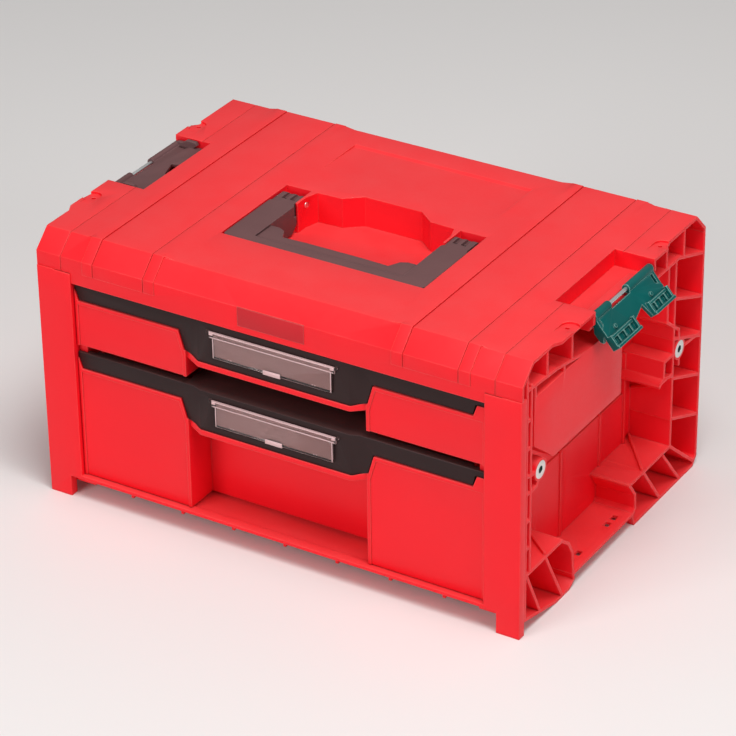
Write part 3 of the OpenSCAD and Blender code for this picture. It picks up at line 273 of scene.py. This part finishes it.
# %% [markdown]
# ## Moulded plastic
#
# All the plastic parts share one recipe. The base colour drifts a little with the clouds,
# turns paler along an edge, as wear and painted highlight, darker in a groove as painted shade,
# and paler and greyer on faces that point up, as dust and painted sheen. The grain drives a
# Bump node, and the roughness follows the same masks, so that a worn edge shines more than
# the grained face beside it. A painted image could hold these tones too, but it needs a flat
# map of every part, while these nodes work on any shape.


# %% Plastic recipe
def place_group(tree, group, **values):
    """A node that uses a group, with its inputs set by name (a blank is written as _)."""
    node = tree.nodes.new("ShaderNodeGroup")
    node.node_tree = group
    for label, value in values.items():
        node.inputs[label.replace("_", " ")].default_value = value
    return node


def mix_colour(tree, factor, first, second):
    """A colour Mix node. The colours are tuples or output sockets."""
    node = tree.nodes.new("ShaderNodeMix")
    node.data_type = "RGBA"
    tree.links.new(factor, node.inputs["Factor"])
    for socket, value in ((node.inputs[6], first), (node.inputs[7], second)):
        if isinstance(value, tuple):
            socket.default_value = (*value, 1)
        else:
            tree.links.new(value, socket)
    return node.outputs[2]


PLASTIC_IOR = 1.48
DUST_AND_SHEEN_COLOUR = (0.60, 0.30, 0.28)
GROOVE_SHARE = 0.5
WORN_POLISH = 0.12


def plastic(name, colour, pale, deep, roughness=0.42, dust_and_sheen=0.12, wear_and_highlight=0.5, gloss=0.3, groove_shade_tone=0.6):
    """Moulded plastic: its colour, the tone of its worn and highlit edges and the tone of its clouds.

    The dust-and-sheen amount and the wear-and-highlight amount say how strong those masks
    are, the groove factor says how much of the cloud tone is left in the painted shade of a
    groove, and gloss is the specular level.
    """
    material = bpy.data.materials.new(name)
    material.use_nodes = True
    tree = material.node_tree
    shader = tree.nodes["Principled BSDF"]
    shader.inputs["IOR"].default_value = PLASTIC_IOR
    shader.inputs["Specular IOR Level"].default_value = gloss
    texture = place_group(tree, grain_group, Scale=900.0, Cloud_Scale=11.0)
    painted_groove_shade = place_group(tree, groove_shade_group, Reach=0.003)
    edges = place_group(tree, wear_and_highlight_group, Width=0.0011, Breakup=70.0)
    dust_and_sheen_node = place_group(tree, dust_and_sheen_group, Amount=dust_and_sheen, Scale=34.0)
    centred = math_node(tree, "SUBTRACT", texture.outputs["Clouds"], 0.35)
    clouds = math_node(tree, "MULTIPLY", centred, 1.6, clamp=True)
    base = mix_colour(tree, clouds, colour, deep)
    outer = math_node(tree, "SUBTRACT", edges.outputs["Mask"], painted_groove_shade.outputs["Mask"], clamp=True)
    # Paler along outer edges, partly as wear and partly as a painted highlight.
    rubbed_and_highlit = mix_colour(tree, math_node(tree, "MULTIPLY", outer, wear_and_highlight), base, pale)
    # Painted shade: the colour turns darker in grooves and inner corners.
    shade = math_node(tree, "MULTIPLY", painted_groove_shade.outputs["Mask"], GROOVE_SHARE)
    worn_and_painted_light = mix_colour(tree, shade, rubbed_and_highlit, tuple(channel * groove_shade_tone for channel in deep))
    # Faces that point up turn paler, partly as dust and partly as painted sheen.
    dusted_and_sheened = mix_colour(tree, dust_and_sheen_node.outputs["Mask"], worn_and_painted_light, DUST_AND_SHEEN_COLOUR)
    tree.links.new(dusted_and_sheened, shader.inputs["Base Color"])
    uneven = math_node(tree, "SUBTRACT", texture.outputs["Height"], 0.5)
    polish = math_node(tree, "MULTIPLY", uneven, 0.25)
    dull = math_node(tree, "ADD", math_node(tree, "MULTIPLY", dust_and_sheen_node.outputs["Mask"], 0.5), polish)
    shine = math_node(tree, "SUBTRACT", dull, math_node(tree, "MULTIPLY", outer, WORN_POLISH))
    tree.links.new(math_node(tree, "ADD", shine, roughness, clamp=True), shader.inputs["Roughness"])
    relief = tree.nodes.new("ShaderNodeBump")
    relief.inputs["Strength"].default_value = 0.12
    relief.inputs["Distance"].default_value = 0.0002
    tree.links.new(texture.outputs["Height"], relief.inputs["Height"])
    tree.links.new(edges.outputs["Normal"], relief.inputs["Normal"])
    tree.links.new(relief.outputs["Normal"], shader.inputs["Normal"])
    return material


red_plastic = plastic(
    "red_plastic", (0.90, 0.007, 0.016), (0.98, 0.17, 0.14), (0.84, 0.005, 0.014), dust_and_sheen=0.24, wear_and_highlight=0.7)
plate_plastic = plastic(
    "plate_plastic", (0.56, 0.010, 0.018), (0.95, 0.34, 0.30), (0.50, 0.008, 0.016), roughness=0.5)
grip_plastic = plastic(
    "grip_plastic", (0.026, 0.011, 0.011), (0.15, 0.09, 0.09), (0.020, 0.009, 0.009), roughness=0.45,
    gloss=0.2)
handle_plastic = plastic(
    "handle_plastic", (0.120, 0.054, 0.056), (0.34, 0.22, 0.22), (0.100, 0.044, 0.046), roughness=0.5,
    groove_shade_tone=0.3)
# The pale tone on the edges of the teal latch is partly wear and partly a painted highlight.
teal_plastic = plastic(
    "teal_plastic", (0.001, 0.105, 0.100), (0.50, 0.80, 0.72), (0.001, 0.080, 0.075), roughness=0.38,
    dust_and_sheen=0.02, wear_and_highlight=1.0, gloss=0.15, groove_shade_tone=0.2)
rail_plastic = plastic(
    "rail_plastic", (0.020, 0.020, 0.022), (0.08, 0.08, 0.08), (0.016, 0.016, 0.018), roughness=0.45)
# Dark green painted shade for the recess of a boss screw.
painted_recess_shade = plastic(
    "painted_recess_shade", (0.004, 0.030, 0.028), (0.02, 0.10, 0.09), (0.003, 0.020, 0.020), roughness=0.6)


# %% [markdown]
# ## Steel, card and clear plastic
#
# The pins and screws are plated steel with fine turning marks. The marks could be cut into
# the mesh, but at this size a stretched noise in the roughness looks the same and costs no
# faces. The card is uncoated paper with a few fibres, and the label covers are clear plastic
# with a frosted hinge strip.


# %% Steel
def steel(name, colour, roughness, streaks):
    """Plated steel. Streaks along X break up the gloss, as from drawing or turning."""
    material = bpy.data.materials.new(name)
    material.use_nodes = True
    tree = material.node_tree
    shader = tree.nodes["Principled BSDF"]
    shader.inputs["Metallic"].default_value = 1.0
    mapping = tree.nodes.new("ShaderNodeMapping")
    mapping.inputs["Scale"].default_value = (streaks, 1500, 1500)
    tree.links.new(tree.nodes.new("ShaderNodeTexCoord").outputs["Object"], mapping.inputs["Vector"])
    lines = noise(tree, 1.0, 2.0, vector=mapping.outputs["Vector"])
    tone = math_node(tree, "MULTIPLY", noise(tree, 160.0, 4.0), 0.5, clamp=True)
    edges = place_group(tree, wear_and_highlight_group, Width=0.0004, Breakup=120.0)
    darker = tuple(channel * 0.72 for channel in colour)
    tree.links.new(mix_colour(tree, tone, colour, darker), shader.inputs["Base Color"])
    gloss = math_node(tree, "ADD", math_node(tree, "MULTIPLY", lines, 0.2), roughness)
    polished = math_node(tree, "MULTIPLY", edges.outputs["Mask"], 0.1)
    dulled = math_node(tree, "SUBTRACT", gloss, polished, clamp=True)
    tree.links.new(dulled, shader.inputs["Roughness"])
    relief = tree.nodes.new("ShaderNodeBump")
    relief.inputs["Strength"].default_value = 0.08
    relief.inputs["Distance"].default_value = 0.0001
    tree.links.new(lines, relief.inputs["Height"])
    tree.links.new(relief.outputs["Normal"], shader.inputs["Normal"])
    return material


pin_steel = steel("pin_steel", (0.93, 0.95, 0.95), 0.34, 300.0)
screw_steel = steel("screw_steel", (0.83, 0.83, 0.82), 0.24, 900.0)

# %% Card
card_paper = bpy.data.materials.new("card_paper")
card_paper.use_nodes = True
tree = card_paper.node_tree
fibres = noise(tree, 420.0, 6.0, 0.7)
tree.links.new(mix_colour(tree, fibres, (0.42, 0.245, 0.235), (0.49, 0.30, 0.28)),
               tree.nodes["Principled BSDF"].inputs["Base Color"])
tree.nodes["Principled BSDF"].inputs["Roughness"].default_value = 0.85
relief = tree.nodes.new("ShaderNodeBump")
relief.inputs["Strength"].default_value = 0.15
relief.inputs["Distance"].default_value = 0.0001
tree.links.new(fibres, relief.inputs["Height"])
tree.links.new(relief.outputs["Normal"], tree.nodes["Principled BSDF"].inputs["Normal"])


# %% Clear and frosted plastic
def clear_plastic(name, colour, roughness, haze):
    """Clear plastic. Fine scratches and haze change only its roughness."""
    material = bpy.data.materials.new(name)
    material.use_nodes = True
    tree = material.node_tree
    shader = tree.nodes["Principled BSDF"]
    shader.inputs["Base Color"].default_value = (*colour, 1)
    shader.inputs["Transmission Weight"].default_value = 1.0
    shader.inputs["IOR"].default_value = 1.45
    scratches = math_node(tree, "MULTIPLY", noise(tree, 260.0, 8.0, 0.7), haze)
    hazed = math_node(tree, "ADD", scratches, roughness, clamp=True)
    tree.links.new(hazed, shader.inputs["Roughness"])
    return material


window_plastic = clear_plastic("window_plastic", (0.93, 0.84, 0.84), 0.05, 0.12)
frosted_plastic = plastic(
    "frosted_plastic", (0.72, 0.47, 0.47), (0.92, 0.80, 0.80), (0.66, 0.42, 0.43), roughness=0.35)
print("materials:", len(bpy.data.materials))

# %% [markdown]
# ## Rounded mouldings
#
# No moulded edge is sharp, and it is the small round along each edge that catches the light.
# The rounds could be drawn in the solids, but there they would add many faces to each. Each
# part is therefore a copy of its solid, with the doubled points merged, the flat faces joined
# and a narrow Bevel along every corner. The copy stands for the solid. Screws, pins and cards
# are made the same way, with finer rounds.


# %% Moulding helper
AXES = {"x": Vector((1, 0, 0)), "y": Vector((0, 1, 0)), "z": Vector((0, 0, 1))}
SIDE_CUTS = {"y": (-136, -104, -60, -10, 38, 70, 98, 112, 136),
             "z": (6, 24, 62, 90, 130, 150, 190, 226)}
COVER_CUTS = {"x": (-205, -150, -60, 0, 60, 150, 205), "y": (-130, -110, -60, -20, 30, 60, 110)}
BASE_CUTS = {"x": range(-175, 180, 50), "y": range(-120, 150, 45)}
BACK_CUTS = {"x": (-135, -80, -27, 27, 80, 135), "z": (45, 90, 140, 180)}
TUB_CUTS = {"x": (-120, -60, 0, 60, 120), "y": (-100, -20, 60), "z": (50, 90, 170)}
DOUBLED_POINTS = 0.000002
FLAT_ANGLE = math.radians(1.2)
CORNER_ANGLE = math.radians(32)


def moulding(node, material, width=0.6, segments=2, cuts=None):
    """A copy of a CAD node with rounded edges, on the same body.

    The width is in millimetres. The cuts, {axis: places in millimetres}, divide wide faces
    with many corners, which a Bevel would otherwise tear.
    """
    source = frame["nodes"][node]
    body = source["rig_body"]
    piece = bpy.data.objects.new(node + "_moulding", source.data.copy())
    bpy.context.scene.collection.objects.link(piece)
    pick(piece)
    bpy.ops.object.mode_set(mode="EDIT")
    bpy.ops.mesh.select_all(action="SELECT")
    bpy.ops.mesh.remove_doubles(threshold=DOUBLED_POINTS)
    bpy.ops.mesh.dissolve_limited(angle_limit=FLAT_ANGLE)
    for axis, places in (cuts or {}).items():
        normal = AXES[axis]
        for place in places:
            bpy.ops.mesh.select_all(action="SELECT")
            bpy.ops.mesh.bisect(plane_co=place * MM * normal, plane_no=normal, threshold=1e-5)
    bpy.ops.object.mode_set(mode="OBJECT")
    rounding = piece.modifiers.new("rounding", "BEVEL")
    rounding.width = width * MM
    rounding.segments = segments
    rounding.limit_method = "ANGLE"
    rounding.angle_limit = CORNER_ANGLE
    rounding.miter_outer = "MITER_ARC"
    apply_all(piece)
    bpy.ops.object.shade_smooth_by_angle(angle=SMOOTH_ANGLE)
    piece.data.materials.clear()
    piece.data.materials.append(material)
    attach(piece, body)
    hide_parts(node)
    print(piece.name, "faces:", len(piece.data.polygons))
    return piece


# %% Housing
moulding("top_cover", red_plastic, 0.9, 3, COVER_CUTS)
for side in ("left", "right"):
    moulding(side + "_side_shell", red_plastic, 0.5, 2, SIDE_CUTS)
    moulding(side + "_guide_rails", rail_plastic, 0.4)
moulding("front_frame", red_plastic, 0.9, 3, {"x": (-200, 200), "z": (50, 120, 190)})
moulding("base_tray", red_plastic, 0.4, 2, BASE_CUTS)
moulding("back_panel", red_plastic, 0.4, 2, BACK_CUTS)
moulding("bare_plate", plate_plastic, 0.2)

# %% Drawers
for level in ("upper", "lower"):
    moulding(level + "_drawer_tub", red_plastic, 0.7, 3, TUB_CUTS)
    moulding(level + "_grip", grip_plastic, 0.5, 2, {"x": (-100, -40, 0, 40, 100)})
    moulding(level + "_label_card", card_paper, 0.1)


# %% [markdown]
# ## Label covers
#
# The clear window hangs from a frosted strip with two ridges and a hook at each end, and has a
# thin rim on each side. Two pairs of tiny studs hold the card, and a rounded catch in the
# middle of the lower edge takes a fingernail. These forms are thin and carry nothing, so they
# are bars with rounded edges that are joined into one piece here, and not part of the solid.
# The strip and the lower edge get the frosted finish, and the window stays clear.


# %% Pieces of a label cover
def paint_faces(piece, material, wanted):
    """Gives a second finish to the faces whose middle, in millimetres, is wanted."""
    piece.data.materials.append(material)
    for face in piece.data.polygons:
        if wanted(face.center / MM):
            face.material_index = len(piece.data.materials) - 1


def rounded_bar(name, low, high, radius, body, material):
    """A bar between two corners (in millimetres) with rounded edges, on a body."""
    bpy.ops.object.select_all(action="DESELECT")
    bpy.ops.mesh.primitive_cube_add(size=1)
    piece = bpy.context.object
    piece.name = name
    piece.location = (Vector(low) + Vector(high)) / 2 * MM
    piece.scale = (Vector(high) - Vector(low)) * MM
    settle(piece)
    rounding = piece.modifiers.new("rounding", "BEVEL")
    rounding.width = radius * MM
    rounding.segments = 3
    apply_all(piece)
    bpy.ops.object.shade_smooth_by_angle(angle=SMOOTH_ANGLE)
    piece.data.materials.append(material)
    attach(piece, body)
    return piece


def joined(name, pieces, body):
    """Several loose pieces of one finish as a single object."""
    bpy.ops.object.select_all(action="DESELECT")
    for piece in pieces:
        piece.select_set(True)
    bpy.context.view_layer.objects.active = pieces[0]
    bpy.ops.object.join()
    pieces[0].name = name
    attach(pieces[0], body)
    return pieces[0]


FRONT = -154.6          # front face of a label cover
SUNK = FRONT + 0.2      # rear face of all bars but the catch, inside the cover
STRIP_DEPTH = 5.3       # the frosted strip, below the hinge
CATCH_LINE = 19.9       # the frosted lower edge, below the hinge
BAR_ROUND = 0.22
STUD_HALF = 0.45

for level, hinge_z in (("upper", 197.3), ("lower", 133.9)):
    cover = moulding(level + "_label_cover", window_plastic, 0.2)
    flap = frame["nodes"][level + "_label_cover"]["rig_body"]
    paint_faces(cover, frosted_plastic,
                lambda c: c.z > hinge_z - STRIP_DEPTH or c.z < hinge_z - CATCH_LINE)
    upper_ridge = ((-58.2, FRONT - 0.5, hinge_z - 0.7), (58.2, SUNK, hinge_z + 0.4))
    lower_ridge = ((-57.6, FRONT - 0.4, hinge_z - 4.8), (57.6, SUNK, hinge_z - 3.9))
    catch = ((-7.4, FRONT - 0.7, hinge_z - 23.6), (7.4, FRONT + 0.1, hinge_z - 20.6))
    spans = [upper_ridge, lower_ridge, catch]
    for s in (-1, 1):
        hook = sorted((s * 54.6, s * 58.2))
        spans.append(((hook[0], FRONT - 0.6, hinge_z - 2.4), (hook[1], SUNK, hinge_z + 0.5)))
        rim = sorted((s * 54.5, s * 55.4))
        spans.append(((rim[0], FRONT - 0.25, hinge_z - 22.6), (rim[1], SUNK, hinge_z - 4.6)))
        for x in (s * 38, s * 40.4):
            spans.append(((x - STUD_HALF, FRONT - 0.5, hinge_z - 20.8),
                          (x + STUD_HALF, SUNK, hinge_z - 19.8)))
    bars = [rounded_bar(level + "_bar", low, high, BAR_ROUND, flap, frosted_plastic)
            for low, high in spans]
    joined(level + "_label_trim", bars, flap)

# %% [markdown]
# ## Handle, latches and steel
#
# The bail and its grip pad fold into the cover. One latch is stowed, and the other stands
# open. Their rounds are 0.4 to 0.5 mm wide, and the steel parts have finer ones. The
# hexagonal recess of a boss screw lies in shade, and that shade is painted as a dark green
# finish on its faces. A plug could fill it, but a second finish on its own faces adds no
# piece: they are picked by their place, and the rest stays steel.

# %% Handle and latches
moulding("handle_bail", handle_plastic, 0.5, 3,
         {"x": (-84, -60, 0, 60, 84), "y": (-60, -30, -8)})
moulding("handle_grip_pad", handle_plastic, 0.5, 3, {"x": (-66, -30, 30, 66)})
moulding("left_latch", handle_plastic, 0.4)
moulding("right_latch", teal_plastic, 0.4)

# %% Steel parts
for node in ("back_screws", "base_screws", "upper_grip_screws", "lower_grip_screws"):
    moulding(node, screw_steel, 0.15)
screws = moulding("boss_screws", screw_steel, 0.15)
BOSSES = ((-123.5, 140), (114, 131))
RECESS_X = (223.5, 224.8)   # its floor is at 223.6 and the face of the head at 225
RECESS_RADIUS = 3.6


def in_recess(centre):
    """True in the hexagonal recess of a boss screw, from its floor to just under its rim."""
    off_axis = min(math.hypot(centre.y - y, centre.z - z) for y, z in BOSSES)
    return RECESS_X[0] < abs(centre.x) < RECESS_X[1] and off_axis < RECESS_RADIUS


# Painted shade: the faces in the recess get the dark green finish.
paint_faces(screws, painted_recess_shade, in_recess)
for node in ("handle_pins", "left_latch_pin", "right_latch_pin"):
    moulding(node, pin_steel, 0.25)
